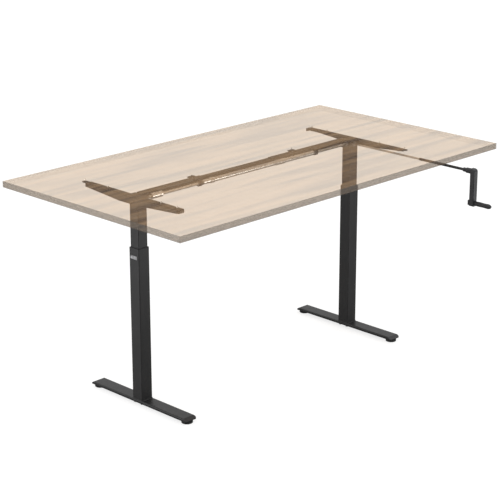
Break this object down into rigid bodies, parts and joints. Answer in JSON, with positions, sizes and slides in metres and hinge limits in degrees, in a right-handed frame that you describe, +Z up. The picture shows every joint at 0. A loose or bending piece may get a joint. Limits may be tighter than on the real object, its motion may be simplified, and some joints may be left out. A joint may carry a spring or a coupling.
{
  "type": "height adjustable standing desk",
  "caption": "Hand-cranked height adjustable desk with a rectangular top on two telescopic columns with straight feet.",
  "frame": {"origin": "on the floor under the middle of the whole outline, crank included", "axes": "+Z up, +X to the user's right, -Y towards the user"},
  "size_m": [1.8, 1.2, 0.88],
  "materials": {
    "laminate": "pale oak laminate, satin",
    "edge_band": "oak-coloured ABS band",
    "black_steel": "black powder coat",
    "zinc_steel": "bright zinc",
    "dark_steel": "black oxide",
    "gear_steel": "machined steel",
    "brass": "turned brass",
    "black_plastic": "textured",
    "grey_plastic": "acetal",
    "rubber": "matte"
  },
  "bodies": {
    "base": {"foot_left": "black_steel", "foot_right": "black_steel", "foot_caps": "black_plastic", "glide_inserts": "zinc_steel", "foot_bolts": "dark_steel", "base_plates": "black_steel", "outer_column_left": "black_steel", "outer_column_right": "black_steel", "glide_collar_left": "black_plastic", "glide_collar_right": "black_plastic", "nut_tube_left": "zinc_steel", "nut_tube_right": "zinc_steel", "lift_nut_left": "brass", "lift_nut_right": "brass"},
    "lift": {"tabletop": "laminate", "edge_band_front": "edge_band", "edge_band_back": "edge_band", "edge_band_left": "edge_band", "edge_band_right": "edge_band", "inner_column_left": "black_steel", "inner_column_right": "black_steel", "lower_glide_left": "grey_plastic", "lower_glide_right": "grey_plastic", "head_plate_left": "black_steel", "head_plate_right": "black_steel", "arm_left": "black_steel", "arm_right": "black_steel", "arm_bolts": "dark_steel", "beam_channel_left": "black_steel", "beam_channel_right": "black_steel", "beam_brackets": "black_steel", "beam_rail": "black_steel", "beam_clamp_screws": "zinc_steel", "shaft_bracket_left": "black_plastic", "shaft_bracket_right": "black_plastic", "bearing_block_left": "gear_steel", "bearing_block_right": "gear_steel", "thrust_bearings": "gear_steel", "shaft_bushes": "grey_plastic", "wood_screws": "zinc_steel"},
    "spindle_left": {"lead_screw_left": "gear_steel", "spindle_gear_left": "gear_steel"},
    "spindle_right": {"lead_screw_right": "gear_steel", "spindle_gear_right": "gear_steel"},
    "drive_shaft": {"drive_pinions": "gear_steel", "drive_rods": "zinc_steel", "drive_tube": "zinc_steel", "shaft_sleeves": "zinc_steel"},
    "crank_shaft": {"crank_pinion": "gear_steel", "crank_rod": "zinc_steel"},
    "crank": {"crank_tube": "black_steel", "crank_collar": "black_plastic", "crank_arm": "black_plastic", "crank_grip_pin": "dark_steel"},
    "grip": {"crank_grip": "black_plastic"},
    "glide_left_front": {"levelling_glide_left_front": "rubber"},
    "glide_left_back": {"levelling_glide_left_back": "rubber"},
    "glide_right_front": {"levelling_glide_right_front": "rubber"},
    "glide_right_back": {"levelling_glide_right_back": "rubber"}
  },
  "joints": [
    {"name": "lift_slide", "type": "slide", "parent": "base", "child": "lift", "axis": [0, 0, 1], "range_m": [-0.16, 0.3]},
    {"name": "spindle_left_turn", "type": "hinge", "parent": "lift", "child": "spindle_left", "pos_m": [-0.604, 0.152, 0.836], "axis": [0, 0, 1], "range_deg": [-9601, 18001]},
    {"name": "spindle_right_turn", "type": "hinge", "parent": "lift", "child": "spindle_right", "pos_m": [0.604, 0.152, 0.836], "axis": [0, 0, 1], "range_deg": [-18001, 9601]},
    {"name": "drive_shaft_turn", "type": "hinge", "parent": "lift", "child": "drive_shaft", "pos_m": [0, 0.152, 0.836], "axis": [1, 0, 0], "range_deg": [-14401, 27001]},
    {"name": "crank_turn", "type": "hinge", "parent": "lift", "child": "crank_shaft", "pos_m": [0.604, 0.152, 0.836], "axis": [0, 1, 0], "range_deg": [-14401, 27001]},
    {"name": "crank_push_in", "type": "slide", "parent": "crank_shaft", "child": "crank", "axis": [0, 1, 0], "range_m": [0, 0.195]},
    {"name": "grip_spin", "type": "hinge", "parent": "crank", "child": "grip", "pos_m": [0.604, -0.55, 0.706], "axis": [0, 1, 0], "continuous": true},
    {"name": "glide_left_front_turn", "type": "hinge", "parent": "base", "child": "glide_left_front", "pos_m": [-0.604, -0.103, 0.003], "axis": [0, 0, 1], "range_deg": [-180, 720]},
    {"name": "glide_left_back_turn", "type": "hinge", "parent": "base", "child": "glide_left_back", "pos_m": [-0.604, 0.407, 0.003], "axis": [0, 0, 1], "range_deg": [-180, 720]},
    {"name": "glide_right_front_turn", "type": "hinge", "parent": "base", "child": "glide_right_front", "pos_m": [0.604, -0.103, 0.003], "axis": [0, 0, 1], "range_deg": [-180, 720]},
    {"name": "glide_right_back_turn", "type": "hinge", "parent": "base", "child": "glide_right_back", "pos_m": [0.604, 0.407, 0.003], "axis": [0, 0, 1], "range_deg": [-180, 720]}
  ],
  "couplings": [
    {"joint": "spindle_left_turn", "follows": "lift_slide", "rad_per_m": 1047.2},
    {"joint": "spindle_right_turn", "follows": "lift_slide", "rad_per_m": -1047.2},
    {"joint": "drive_shaft_turn", "follows": "lift_slide", "rad_per_m": 1570.8},
    {"joint": "crank_turn", "follows": "lift_slide", "rad_per_m": 1570.8}
  ]
}
